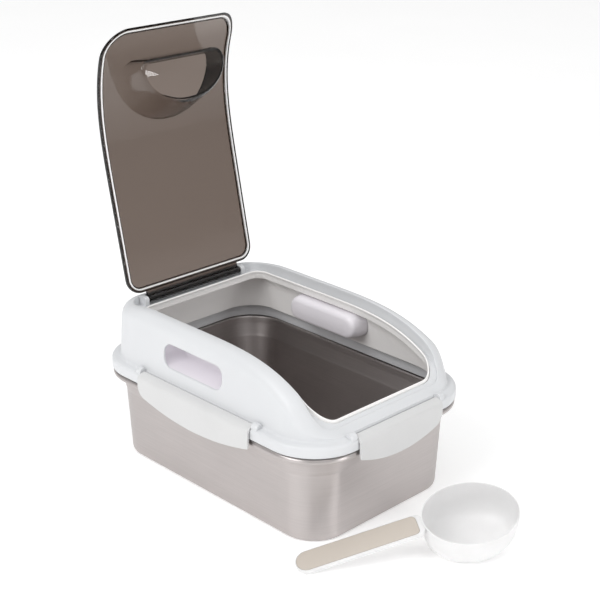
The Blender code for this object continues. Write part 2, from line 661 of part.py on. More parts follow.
def slot_plate(near, far, half_width, low, high):
    """Flat bar along X with a square-ish near end and a round far end."""
    plan = []
    near_corner, far_corner = 0.45 * half_width, 0.98 * half_width
    corners = ((near - near_corner, half_width - near_corner, 0.0, near_corner),
               (far + far_corner, half_width - far_corner, 90.0, far_corner))
    for x, y, start, radius in corners:
        for step in range(CORNER_STEPS + 1):
            turn = math.radians(start + 90.0 * step / CORNER_STEPS)
            plan.append((x + radius * math.cos(turn), y + radius * math.sin(turn)))
    plan += [(x, -y) for x, y in reversed(plan)]
    plan = np.array(plan)
    return loft([at(plan, low), at(plan, high)])


# ---------------------------------------------------------------- assembly
def main():
    clear_scene()
    parts = new_collection("pet_food_bin")
    cutters = new_collection("cutters")
    build_tub(parts)
    build_tub_seal(parts)
    build_housing(parts, cutters)
    build_liner(parts, cutters)
    build_grip_cup(parts, "grip_cup_left", -1.0)
    build_grip_cup(parts, "grip_cup_right", 1.0)

    pivot = bpy.data.objects.new("lid_axis", None)
    parts.objects.link(pivot)
    pivot.location = (0.0, HINGE_Y, HINGE_Z)
    pivot.rotation_euler = (math.radians(-LID_OPEN_DEG), 0.0, 0.0)
    build_lid(parts, cutters, pivot)
    build_pins(parts)
    for site in latch_sites():
        build_latch(parts, cutters, *site)
    build_scoop(parts, cutters)


main()
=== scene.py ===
"""Looks of the pet food bin: fine shapes, materials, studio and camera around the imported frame."""
import math

import bmesh
import bpy
import numpy as np
from mathutils import Euler, Matrix, Vector


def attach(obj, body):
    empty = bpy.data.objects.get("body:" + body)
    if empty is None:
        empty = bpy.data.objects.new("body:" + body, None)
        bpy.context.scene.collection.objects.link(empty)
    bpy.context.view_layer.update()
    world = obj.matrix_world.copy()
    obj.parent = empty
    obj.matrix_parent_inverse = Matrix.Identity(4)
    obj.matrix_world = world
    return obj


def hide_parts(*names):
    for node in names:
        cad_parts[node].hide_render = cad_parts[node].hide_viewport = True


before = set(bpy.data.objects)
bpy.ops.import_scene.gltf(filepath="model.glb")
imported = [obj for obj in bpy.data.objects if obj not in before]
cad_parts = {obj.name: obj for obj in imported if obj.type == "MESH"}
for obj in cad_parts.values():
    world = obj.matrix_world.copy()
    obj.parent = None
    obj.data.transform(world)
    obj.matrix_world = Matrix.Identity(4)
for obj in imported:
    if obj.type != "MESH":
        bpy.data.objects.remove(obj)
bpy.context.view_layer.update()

# ---------------------------------------------------------------- dimensions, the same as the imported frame's
LENGTH_OVER_WIDTH = 0.061          # every tub and flange outline is this much longer than wide, each side
CORNER_LESS = 0.0742               # outline corner radius = half width less this
FLANGE_BOTTOM_Z = 0.1176
NOTCH_FLOOR_Z = FLANGE_BOTTOM_Z + 0.0089      # floor of the latch notches in the flange
WALL_FOOT_Z = FLANGE_BOTTOM_Z + 0.0174        # where the housing wall leaves the flange fillet
WALL_FOOT_HALF = 0.1276            # half width of the housing wall at its foot
WALL_TOP_Z = FLANGE_BOTTOM_Z + 0.0694
SHOULDER_DEPTH = 0.016
TUB_RIM_Z = FLANGE_BOTTOM_Z - 0.0018
SKIN = 0.0024                      # housing wall thickness
LINER_OUT = 0.0102                 # liner faces, measured in from the outside of the housing
LINER_IN = 0.0120

SEAT_Z = FLANGE_BOTTOM_Z + 0.0776  # level of the lid seat behind the brow
BROW_START_Y = 0.030               # the seat curves down in front of this
BROW_GAIN = 15.0
BROW_POWER = 3.6
TIP_START_Y = -0.145               # the tip of the lid curls down faster in front of this
TIP_GAIN = 6.0
CREST_RISE = 0.0096                # the crest stands this far above the seat
CREST_END_Y = -0.174               # the crest runs out between these two places
CREST_FULL_Y = -0.140
BAND_REACH_Y = -0.188              # outer edge of the sloping band in front of the opening
BAND_WIDTH = 0.030
BAND_SLOPE = 0.45

LID_HALF_WIDTH = 0.1028
LID_FRONT_Y = -0.1735
LID_REAR_Y = 0.1496
LID_FRONT_CORNER = 0.031
LID_REAR_CORNER = 0.020
LID_DEPTH = 0.0054                 # seat to top face
LID_OPEN_DEG = 102.0
POCKET_FLOOR_Z = FLANGE_BOTTOM_Z + 0.0254     # level floor of the finger pocket with the lid shut
HINGE_Y = 0.1597
HINGE_Z = SEAT_Z + 0.0011
BARREL_HALF_LENGTH = 0.0750
BARREL_RADIUS = 0.0045
LID_PIN_RADIUS = 0.0015
LUG_INNER_X = 0.0772
LUG_OUTER_X = 0.0835
LUG_ROUND = 0.0040                 # rounding of a hinge lug's top corners
LUG_EDGE = 0.0004                  # and of its edges

GRIP_Y = 0.018
GRIP_Z = FLANGE_BOTTOM_Z + 0.0472
GRIP_HALF_LENGTH = 0.0525
GRIP_HALF_HEIGHT = 0.0150
GRIP_CORNER = 0.0125
CUP_LEAN = 0.104                   # grip openings and the finger cups' rims lean with the housing wall

LATCH_AXIS_OUT = 0.1325            # hinge axis of a side latch, from the middle plane
LATCH_AXIS_Z = FLANGE_BOTTOM_Z + 0.0134
LATCH_BARREL_RADIUS = 0.0033
LATCH_PIN_RADIUS = 0.0012
LATCH_CLEARANCE = 0.0006
LATCH_LOW = 0.0385                 # the bowed lower edge's lowest point, below the axis
LATCH_BOW = 0.0140
LATCH_ROUND_CORNER = 0.0100        # lower corner at the end away from the bin's front left corner
LATCH_SQUARE_CORNER = 0.0025
SIDE_LATCH_HALF = 0.0995
SIDE_LATCH_MID_Y = 0.0015
END_LATCH_HALF = 0.0690
BOSS_LENGTH = 0.0090
BOSS_RADIUS = 0.0055
BOSS_Z = LATCH_AXIS_Z + 0.0018     # the round bosses stand a little above their pins
CATCH_SHARE = 0.62                 # the catch inside a latch is this much of its length
GAP = 0.0003

SCOOP_YAW_DEG = -32.0
SCOOP_ROLL_DEG = 16.0
SCOOP_PITCH_DEG = -5.4
HANDLE_DROP_DEG = 10.6             # the handle runs down from the bowl's rim to the floor
SCOOP_PLACE = (0.0034, -0.3035, 0.0528)
BOWL_HALF_LENGTH = 0.0561
BOWL_HALF_WIDTH = 0.0460
BOWL_DEPTH = 0.0470
BOWL_WALL = 0.0016
BOWL_STEPS = 96
HANDLE_LENGTH = 0.148
HANDLE_HALF_WIDTH = 0.0145
HANDLE_THICKNESS = 0.0062

CORNER_STEPS = 16
SIDE_STEPS = 56
CIRCLE_STEPS = 40
BOSS_STEPS = 32
LID_PIN_STEPS = 24
LATCH_PIN_STEPS = 20
LUG_STEPS = 8


# ---------------------------------------------------------------- mesh helpers
def object_from(bm, name, material=None, smooth_angle=32.0):
    mesh = bpy.data.meshes.new(name)
    bm.to_mesh(mesh)
    bm.free()
    mesh.shade_smooth()
    mesh.set_sharp_from_angle(angle=math.radians(smooth_angle))
    piece = bpy.data.objects.new(name, mesh)
    bpy.context.scene.collection.objects.link(piece)
    if material is not None:
        mesh.materials.append(material)
    return piece


def carve(piece, steps, smooth_angle=32.0):
    """Union or cut bmesh tools one after another, then keep only the finished mesh."""
    for operation, tool_bm in steps:
        tool = object_from(tool_bm, "tool")
        modifier = piece.modifiers.new("carve", 'BOOLEAN')
        modifier.operation = operation
        modifier.solver = 'EXACT'
        modifier.object = tool
        bpy.context.view_layer.update()
        carved = bpy.data.meshes.new_from_object(piece.evaluated_get(bpy.context.evaluated_depsgraph_get()))
        piece.modifiers.clear()
        spent = piece.data
        piece.data = carved
        carved.name = piece.name
        bpy.data.meshes.remove(spent)
        bpy.data.objects.remove(tool, do_unlink=True)
    piece.data.shade_smooth()
    piece.data.set_sharp_from_angle(angle=math.radians(smooth_angle))
    return piece


def soften(rings, reach, closed=False):
    """Round the profile that a stack of rings makes: each corner is cut at most the reach back."""
    pairs = list(zip(rings, rings[1:]))
    if closed:
        pairs.append((rings[-1], rings[0]))
    softened = [] if closed else [rings[0]]
    for low, high in pairs:
        gap = np.linalg.norm(high - low, axis=1).mean()
        share = min(0.25, reach / max(gap, 1e-7))
        softened += [low + (high - low) * share, high - (high - low) * share]
    if not closed:
        softened.append(rings[-1])
    return softened


def skin(rings, closed=False):
    """Join rings of equal count by quads; closed joins the last ring to the first."""
    bm = bmesh.new()
    loops = [[bm.verts.new(Vector(point)) for point in ring] for ring in rings]
    pairs = list(zip(loops, loops[1:]))
    if closed:
        pairs.append((loops[-1], loops[0]))
    count = len(loops[0])
    for low, high in pairs:
        for i in range(count):
            j = (i + 1) % count
            bm.faces.new((low[i], low[j], high[j], high[i]))
    return bm, loops


def add_ladder_caps(bm, loops):
    """Fill mirrored loops with rungs of quads, point i to point -1 - i."""
    for loop in loops:
        for i in range(len(loop) // 2 - 1):
            bm.faces.new((loop[i], loop[i + 1], loop[-2 - i], loop[-1 - i]))


def loft(rings, closed=False, caps=True, reach=0.0):
    """Closed body from rings; the reach rounds its profile, and caps fill the two ends."""
    rings = [np.asarray(ring, dtype=float) for ring in rings]
    if reach > 0.0:
        rings = soften(soften(rings, reach, closed), 0.4 * reach, closed)
    bm, loops = skin(rings, closed)
    if caps and not closed:
        add_ladder_caps(bm, (loops[0], loops[-1]))
    return face_outwards(bm)


def prism(rings):
    """Closed body from rings, with one flat face at each end."""
    bm, loops = skin(rings)
    bm.faces.new(loops[0])
    bm.faces.new(list(reversed(loops[-1])))
    return face_outwards(bm)


def place(piece, body, slot, *nodes):
    """Let a finished piece stand for CAD nodes and ride on their body."""
    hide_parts(*nodes)
    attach(piece, body)


def outline(half_width, front, rear, front_corner, rear_corner):
    """Rounded rectangle, mirrored about X = 0; point i pairs with point -1 - i."""
    right = []
    for step in range(CORNER_STEPS + 1):
        turn = math.radians(90.0 - 90.0 * step / CORNER_STEPS)
        right.append((half_width - rear_corner + rear_corner * math.cos(turn),
                      rear - rear_corner + rear_corner * math.sin(turn)))
    top, bottom = rear - rear_corner, front + front_corner
    for step in range(1, SIDE_STEPS):
        share = (step / SIDE_STEPS) ** 0.75
        right.append((half_width, top + (bottom - top) * share))
    for step in range(CORNER_STEPS + 1):
        turn = math.radians(-90.0 * step / CORNER_STEPS)
        right.append((half_width - front_corner + front_corner * math.cos(turn),
                      front + front_corner + front_corner * math.sin(turn)))
    left = [(-x, y) for x, y in reversed(right)]
    return np.array(right + left)


def base_outline(half_width):
    """Outline family shared by the tub and the flange."""
    half_length = half_width + LENGTH_OVER_WIDTH
    corner = half_width - CORNER_LESS
    return outline(half_width, -half_length, half_length, corner, corner)


def lid_outline(inset):
    return outline(LID_HALF_WIDTH - inset, LID_FRONT_Y + inset, LID_REAR_Y - inset,
                   LID_FRONT_CORNER - inset, LID_REAR_CORNER - inset)


def dee_outline(half_width, front, rear, corner):
    """D shape: straight front edge with round corners, half-elliptic rear edge."""
    right = []
    centre = front + corner
    steps = 2 * CORNER_STEPS
    for step in range(steps + 1):
        turn = math.radians(86.0 * (1.0 - step / steps))
        right.append((half_width * math.cos(turn), centre + (rear - centre) * math.sin(turn)))
    for step in range(1, CORNER_STEPS + 1):
        turn = math.radians(-90.0 * step / CORNER_STEPS)
        right.append((half_width - corner + corner * math.cos(turn), centre + corner * math.sin(turn)))
    left = [(-x, y) for x, y in reversed(right)]
    return np.array(right + left)


def at(points, height):
    """Ring of an outline at one height, or at a height worked out for each point."""
    heights = height(points[:, 1]) if callable(height) else np.full(len(points), height)
    return np.column_stack([points, heights])


def face_outwards(bm):
    """Make the faces of one closed body point out."""
    bmesh.ops.recalc_face_normals(bm, faces=bm.faces)
    if bm.calc_volume(signed=True) < 0.0:
        bmesh.ops.reverse_faces(bm, faces=bm.faces)
    return bm


def add_box(bm, low, high):
    centre = [(a + b) / 2.0 for a, b in zip(low, high)]
    size = [b - a for a, b in zip(low, high)]
    matrix = Matrix.Translation(centre) @ Matrix.Diagonal((*size, 1.0))
    bmesh.ops.create_cube(bm, size=1.0, matrix=matrix)


def add_rod(bm, start, end, radius, segments):
    start, end = Vector(start), Vector(end)
    along = end - start
    turn = along.to_track_quat('Z', 'Y').to_matrix().to_4x4()
    matrix = Matrix.Translation((start + end) / 2.0) @ turn
    bmesh.ops.create_cone(bm, cap_ends=True, segments=segments, radius1=radius, radius2=radius,
                          depth=along.length, matrix=matrix)


def smooth_step(value, low, high):
    share = np.clip((value - low) / (high - low), 0.0, 1.0)
    return share * share * (3.0 - 2.0 * share)


def seat(y):
    brow = BROW_GAIN * np.maximum(BROW_START_Y - np.asarray(y), 0.0) ** BROW_POWER
    tip = TIP_GAIN * np.maximum(TIP_START_Y - np.asarray(y), 0.0) ** 2
    return SEAT_Z - brow - tip


def front_fade(y):
    """1 along the sides, 0 at the front, where the crest and its groove run out."""
    return smooth_step(np.asarray(y), CREST_END_Y, CREST_FULL_Y)


def crest(y):
    """Top of the housing wall: above the seat at the sides, lower behind, a shallow band in front."""
    rear_drop = 0.0055 * smooth_step(np.asarray(y), 0.110, 0.165)
    rim = seat(y) + CREST_RISE * front_fade(y) - rear_drop
    band = WALL_FOOT_Z + BAND_SLOPE * np.minimum(np.asarray(y) - BAND_REACH_Y, BAND_WIDTH)
    return 0.5 * (rim + band + np.hypot(rim - band, 0.002))


def over_seat(offset):
    return lambda y: seat(y) + offset


def groove_floor(y):
    under_lid = seat(np.maximum(y, LID_FRONT_Y)) - 0.0014 - 0.0044 * front_fade(y)
    return np.minimum(under_lid, crest(y) - 0.0012)


def append_to(target, source):
    """Copy one bmesh into another and free it."""
    mesh = bpy.data.meshes.new("scratch")
    source.to_mesh(mesh)
    source.free()
    target.from_mesh(mesh)
    bpy.data.meshes.remove(mesh)


# ---------------------------------------------------------------- materials
PLASTIC_IOR = 1.49
SCOOP_IOR = 1.46


def new_material(name):
    material = bpy.data.materials.new(name)
    material.use_nodes = True
    tree = material.node_tree
    shader = tree.nodes["Principled BSDF"]
    return material, tree, shader


def add_noise(tree, scale, detail, roughness=0.55, stretch=(1.0, 1.0, 1.0)):
    """Noise in the piece's own metres; stretch squeezes or draws it out along each axis."""
    place_node = tree.nodes.new("ShaderNodeTexCoord")
    mapping = tree.nodes.new("ShaderNodeMapping")
    mapping.inputs["Scale"].default_value = stretch
    noise = tree.nodes.new("ShaderNodeTexNoise")
    noise.inputs["Scale"].default_value = scale
    noise.inputs["Detail"].default_value = detail
    noise.inputs["Roughness"].default_value = roughness
    tree.links.new(place_node.outputs["Object"], mapping.inputs["Vector"])
    tree.links.new(mapping.outputs["Vector"], noise.inputs["Vector"])
    return noise.outputs["Fac"]


def spread(tree, value, low, high, clip=(0.3, 0.7)):
    """Map a noise value to a range."""
    ranged = tree.nodes.new("ShaderNodeMapRange")
    ranged.inputs["From Min"].default_value, ranged.inputs["From Max"].default_value = clip
    ranged.inputs["To Min"].default_value, ranged.inputs["To Max"].default_value = low, high
    tree.links.new(value, ranged.inputs["Value"])
    return ranged.outputs["Result"]


def blend_colours(tree, factor, first, second):
    mix = tree.nodes.new("ShaderNodeMix")
    mix.data_type = 'RGBA'
    sockets = [socket for socket in mix.inputs if socket.enabled and socket.type == 'RGBA']
    for socket, colour in zip(sockets, (first, second)):
        if isinstance(colour, tuple):
            socket.default_value = (*colour, 1.0)
        else:
            tree.links.new(colour, socket)
    tree.links.new(factor, mix.inputs["Factor"])
    return [socket for socket in mix.outputs if socket.enabled and socket.type == 'RGBA'][0]


def add_bump(tree, shader, height, distance, strength=1.0):
    bump = tree.nodes.new("ShaderNodeBump")
    bump.inputs["Strength"].default_value = strength
    bump.inputs["Distance"].default_value = distance
    tree.links.new(height, bump.inputs["Height"])
    before = shader.inputs["Normal"].links
    if before:
        tree.links.new(before[0].from_socket, bump.inputs["Normal"])
    tree.links.new(bump.outputs["Normal"], shader.inputs["Normal"])


def moulded_plastic(name, colour, shade, roughness, grain=0.00001, subsurface=0.0):
    """Moulded plastic: faint flow mottling, fine spark-eroded grain, a few shinier rubbed patches."""
    material, tree, shader = new_material(name)
    broad = add_noise(tree, 14.0, 3.0)
    speck = add_noise(tree, 900.0, 2.0)
    base = blend_colours(tree, spread(tree, broad, 0.0, 1.0), colour, shade)
    darker = tuple(0.90 * channel for channel in shade)
    base = blend_colours(tree, spread(tree, speck, 0.0, 1.0, (0.68, 0.80)), base, darker)
    tree.links.new(base, shader.inputs["Base Color"])
    rub = add_noise(tree, 32.0, 5.0)
    tree.links.new(spread(tree, rub, roughness - 0.06, roughness + 0.06), shader.inputs["Roughness"])
    shader.inputs["IOR"].default_value = PLASTIC_IOR
    shader.inputs["Subsurface Weight"].default_value = subsurface
    shader.inputs["Subsurface Radius"].default_value = (0.004, 0.004, 0.0035)
    fine = add_noise(tree, 1600.0, 2.0)
    add_bump(tree, shader, fine, grain)
    sink = add_noise(tree, 22.0, 1.0)
    add_bump(tree, shader, sink, 0.00012, 0.5)
    return material


def brushed_steel(name, colour, shade, roughness, along=(14.0, 14.0, 1100.0), cloudy=9.0):
    """Satin steel: strokes drawn out round the tub, cloudy polish, sparse scratches."""
    material, tree, shader = new_material(name)
    shader.inputs["Metallic"].default_value = 1.0
    shader.inputs["Anisotropic"].default_value = 0.75
    shader.inputs["Anisotropic Rotation"].default_value = 0.25
    strokes = add_noise(tree, 1.0, 4.0, 0.65, along)
    cloud = add_noise(tree, cloudy, 3.0, stretch=(1.0, 1.0, 1.6))
    base = blend_colours(tree, spread(tree, cloud, 0.0, 1.0), colour, shade)
    worn = tuple(0.97 * channel for channel in shade)
    base = blend_colours(tree, spread(tree, strokes, 0.0, 1.0, (0.42, 0.75)), base, worn)
    tree.links.new(base, shader.inputs["Base Color"])
    tree.links.new(spread(tree, strokes, roughness - 0.02, roughness + 0.04), shader.inputs["Roughness"])
    add_bump(tree, shader, strokes, 0.000004, 0.5)
    scratch = add_noise(tree, 1.0, 2.0, stretch=tuple(0.35 * share for share in along))
    add_bump(tree, shader, spread(tree, scratch, 0.0, 1.0, (0.72, 0.76)), 0.000008, 0.4)
    return material


def smoked_plastic(name):
    """Clear smoked plastic: the tint is in its depth, so edges and double walls go nearly black."""
    material, tree, shader = new_material(name)
    shader.inputs["Base Color"].default_value = (1.0, 1.0, 1.0, 1.0)
    shader.inputs["Transmission Weight"].default_value = 1.0
    shader.inputs["IOR"].default_value = PLASTIC_IOR
    haze = add_noise(tree, 26.0, 4.0)
    tree.links.new(spread(tree, haze, 0.03, 0.09), shader.inputs["Roughness"])
    wave = add_noise(tree, 18.0, 1.0)
    add_bump(tree, shader, wave, 0.0002, 0.4)
    tint = tree.nodes.new("ShaderNodeVolumeAbsorption")
    tint.inputs["Color"].default_value = (0.36, 0.27, 0.21, 1.0)
    tint.inputs["Density"].default_value = 1100.0
    output = tree.nodes["Material Output"]
    tree.links.new(tint.outputs["Volume"], output.inputs["Volume"])
    return material


def frosted_plastic(name):
    """Milky scoop plastic that lets some light through."""
    material, tree, shader = new_material(name)
    cloud = add_noise(tree, 30.0, 3.0)
    base = blend_colours(tree, spread(tree, cloud, 0.0, 1.0), (0.90, 0.895, 0.895), (0.86, 0.855, 0.855))
    tree.links.new(base, shader.inputs["Base Color"])
    shader.inputs["Transmission Weight"].default_value = 0.12
    shader.inputs["IOR"].default_value = SCOOP_IOR
    shader.inputs["Subsurface Weight"].default_value = 0.35
    shader.inputs["Subsurface Radius"].default_value = (0.006, 0.006, 0.006)
    tree.links.new(spread(tree, cloud, 0.34, 0.46), shader.inputs["Roughness"])
    fine = add_noise(tree, 700.0, 2.0)
    add_bump(tree, shader, fine, 0.000006)
    return material


def silicone(name, colour, shade):
    """Soft matt rubber with a faint bloom."""
    material, tree, shader = new_material(name)
    broad = add_noise(tree, 60.0, 3.0)
    base = blend_colours(tree, spread(tree, broad, 0.0, 1.0), colour, shade)
    tree.links.new(base, shader.inputs["Base Color"])
    tree.links.new(spread(tree, broad, 0.42, 0.58), shader.inputs["Roughness"])
    shader.inputs["Sheen Weight"].default_value = 0.15
    fine = add_noise(tree, 2200.0, 2.0)
    add_bump(tree, shader, fine, 0.000012)
    return material


WHITE = moulded_plastic("housing_white", (0.68, 0.69, 0.705), (0.66, 0.67, 0.685), 0.40)
LATCH_WHITE = moulded_plastic("latch_white", (0.65, 0.65, 0.65), (0.625, 0.625, 0.625), 0.44)
# The liner's colour is painted paler than its grey plastic: painted light that stands in for light bounced
# around inside the bin.
LINER_PAINTED_BOUNCE = moulded_plastic("liner_grey", (0.93, 0.915, 0.90), (0.91, 0.895, 0.88), 0.42)
GRIP_LILAC = moulded_plastic("grip_lilac", (0.86, 0.83, 0.87), (0.83, 0.80, 0.84), 0.40)
STEEL = brushed_steel("tub_steel", (0.55, 0.51, 0.50), (0.51, 0.475, 0.465), 0.40)
PIN_STEEL = brushed_steel("pin_steel", (0.60, 0.60, 0.61), (0.54, 0.54, 0.55), 0.28,
                          (900.0, 900.0, 900.0), 60.0)
SMOKE = smoked_plastic("lid_smoke")
GASKET = silicone("gasket_white", (0.93, 0.925, 0.92), (0.90, 0.895, 0.89))
SEAL = silicone("seal_black", (0.030, 0.030, 0.032), (0.022, 0.022, 0.024))
FROSTED = frosted_plastic("scoop_frosted")
BEIGE = moulded_plastic("inlay_beige", (0.56, 0.505, 0.445), (0.53, 0.475, 0.42), 0.55, 0.00002)


# ---------------------------------------------------------------- outlines and sections
def crest_outline(grow):
    """Outline of the rebate wall (grown by 0) and of the crest around it."""
    return outline(0.1048 + grow, -0.1765 - grow, 0.1685 + grow, 0.0240 + grow, 0.0260 + grow)


def wall_outline(inset=0.0):
    return outline(0.1222 - inset, -0.1830 + inset, 0.1832 - inset, 0.0400 - inset, 0.0440 - inset)


def shoulder_rings(inset, turns):
    """Rings of the rounded shoulder between the crest and the wall, moved in by the inset."""
    foot_z = WALL_FOOT_Z - 0.6 * inset

    def top_and_depth(y):
        top = np.maximum(crest(y) - inset, foot_z + 0.0008)
        return top, np.minimum(SHOULDER_DEPTH, 0.75 * (top - foot_z))

    foot = base_outline(WALL_FOOT_HALF - inset)
    head = wall_outline(inset)
    peak = crest_outline(0.0020 - 0.3 * inset)
    top, depth = top_and_depth(head[:, 1])
    rise = np.clip((top - depth - foot_z) / (WALL_TOP_Z - foot_z), 0.0, 1.2)[:, None]
    wall = foot + (head - foot) * rise
    rings = []
    for degrees in turns:
        turn = math.radians(degrees)
        plan = peak + (wall - peak) * math.sin(turn)
        top, depth = top_and_depth(plan[:, 1])
        rings.append(np.column_stack([plan, top - depth * (1.0 - math.cos(turn))]))
    return rings


def latch_sites():
    """The four latches: name, heading about Z, half length, shift along, shift outwards, squarer end."""
    return [("right", 0.0, SIDE_LATCH_HALF, SIDE_LATCH_MID_Y, 0.0, -1.0),
            ("rear", 90.0, END_LATCH_HALF, 0.0, LENGTH_OVER_WIDTH, 1.0),
            ("left", 180.0, SIDE_LATCH_HALF, -SIDE_LATCH_MID_Y, 0.0, 1.0),
            ("front", 270.0, END_LATCH_HALF, 0.0, LENGTH_OVER_WIDTH, -1.0)]


def site_matrix(heading, outward):
    """Frame of one latch: local X points away from the bin, local Y runs along the latch."""
    return Matrix.Rotation(math.radians(heading), 4, 'Z') @ Matrix.Translation((outward, 0.0, 0.0))


def grip_outline(half_length, half_height, corner):
    """Rounded slot in the Y, Z plane around the grip centre, as pairs mirrored top to bottom."""
    upper = []
    for start, centre_y in ((0.0, half_length - corner), (90.0, corner - half_length)):
        for step in range(CORNER_STEPS + 1):
            turn = math.radians(start + 90.0 * step / CORNER_STEPS)
            upper.append((centre_y + corner * math.cos(turn), half_height - corner + corner * math.sin(turn)))
    lower = [(y, -z) for y, z in reversed(upper)]
    return np.array(upper + lower)


def grip_ring(side, out, half_length, half_height, corner):
    plan = grip_outline(half_length, half_height, corner)
    return np.column_stack([np.full(len(plan), side * out), plan[:, 0] + GRIP_Y, plan[:, 1] + GRIP_Z])


def rib_outline(grow):
    """Outline of the sealing rib, grown outwards from its inner face."""
    return outline(0.0972 + grow, -0.1685 - grow, 0.1439 + grow, 0.0255 + grow, 0.0150 + grow)


def liner_foot(y):
    """Lower edge of the liner: level at the sides and rear, dipping at the low front."""
    return FLANGE_BOTTOM_Z + 0.0090 + 0.0090 * smooth_step(np.asarray(y), -0.176, -0.120)


def close_cup(bm, count, depth):
    """Turn the open double skin into a cup: bottom caps on both skins and a rim joining them."""
    bm.verts.ensure_lookup_table()
    rings = [[bm.verts[k * count + i] for i in range(count)] for k in range(2 * depth)]
    for i in range(count):
        j = (i + 1) % count
        face = bm.faces.get((rings[depth - 1][i], rings[depth - 1][j], rings[depth][j], rings[depth][i]))
        bm.faces.remove(face)
        bm.faces.new((rings[0][i], rings[0][j], rings[-1][j], rings[-1][i]))
    add_ladder_caps(bm, (rings[depth - 1], rings[depth]))
    face_outwards(bm)


def latch_section(low):
    """Closed section of a latch in its own frame: X out from the hinge axis, Z from the hinge axis."""
    r = LATCH_BARREL_RADIUS
    turns = [math.radians(a) for a in (285, 250, 215, 180, 145, 110, 75)]
    section = [(r * math.cos(turn), r * math.sin(turn)) for turn in turns]
    section += [(0.0045, 0.0022), (0.0080, 0.0004), (0.0096, -0.0010), (0.0104, -0.0034),
                (0.0105, low + 0.0012), (0.0098, low), (0.0090, low), (0.0082, low + 0.0010),
                (0.0080, -0.0048), (0.0072, -0.0034), (0.0040, -0.0026)]
    return section


def latch_low(y, half, square_end):
    """Bowed lower edge, measured from the hinge axis, with one nearly square corner and one round one."""
    corner = LATCH_SQUARE_CORNER if y * square_end > 0.0 else LATCH_ROUND_CORNER
    low = -LATCH_LOW + LATCH_BOW * (y / half) ** 2
    past = abs(y) - (half - corner)
    if past > 0.0:
        low += corner - math.sqrt(max(corner ** 2 - past ** 2, 0.0))
    return low


def oval(half_length, half_width, height):
    """Level oval ring; point i pairs with point -1 - i."""
    turns = [math.radians(4.0 + 352.0 * i / (BOWL_STEPS - 1)) for i in range(BOWL_STEPS)]
    return np.array([(half_length * math.cos(t), half_width * math.sin(t), height) for t in turns])


def scoop_matrix():
    turn = Euler((math.radians(SCOOP_ROLL_DEG), math.radians(SCOOP_PITCH_DEG), 0.0)).to_matrix().to_4x4()
    return Matrix.Translation(SCOOP_PLACE) @ Matrix.Rotation(math.radians(SCOOP_YAW_DEG), 4, 'Z') @ turn


# ---------------------------------------------------------------- pieces
def lid_pose():
    """Turns the shut lid, as it is drawn, to where the frame stores it: open."""
    hinge = Vector((0.0, HINGE_Y, HINGE_Z))
    turn = Matrix.Rotation(math.radians(-LID_OPEN_DEG), 4, 'X')
    return Matrix.Translation(hinge) @ turn @ Matrix.Translation(-hinge)


def build_tub():
    foot = [(0.1060, 0.0), (0.1135, 0.0), (0.1160, 0.0005), (0.1175, 0.0020), (0.1181, 0.0048)]
    rim = [(0.1224, -0.0278), (0.1233, -0.0253), (0.1246, -0.0178), (0.1262, -0.0098),
           (0.1295, -0.0076), (0.1362, -0.0071), (0.1377, -0.0056), (0.1379, -0.0028),
           (0.1368, -0.0006), (0.1345, 0.0), (0.1268, 0.0), (0.1253, -0.0013),
           (0.1250, -0.0098), (0.1234, -0.0178), (0.1221, -0.0248), (0.1212, -0.0278)]
    floor = [(0.1169, 0.0052), (0.1164, 0.0030), (0.1152, 0.0016), (0.1135, 0.0010), (0.1060, 0.0010)]
    profile = foot + [(half, TUB_RIM_Z + z) for half, z in rim] + floor
    bm = loft([at(base_outline(half), z) for half, z in profile], reach=0.0011)
    place(object_from(bm, "tub", STEEL, 55.0), "bin", "steel", "steel_tub")


def build_tub_seal():
    profile = [(0.1280, GAP), (0.1335, GAP), (0.1335, 0.0015), (0.1280, 0.0015)]
    bm = loft([at(base_outline(half), TUB_RIM_Z + z) for half, z in profile], closed=True, reach=0.0003)
    place(object_from(bm, "rim_seal", SEAL), "bin", "rim_seal", "tub_seal")


def lean_ring(ring, side):
    """Tip a grip ring over to the slope of the housing wall."""
    ring[:, 0] -= side * CUP_LEAN * (ring[:, 2] - GRIP_Z)


def leaning_ring(side, out, grow):
    """Ring round a grip opening that leans with the housing wall."""
    ring = grip_ring(side, out, GRIP_HALF_LENGTH + grow, GRIP_HALF_HEIGHT + grow, GRIP_CORNER + grow)
    lean_ring(ring, side)
    return ring


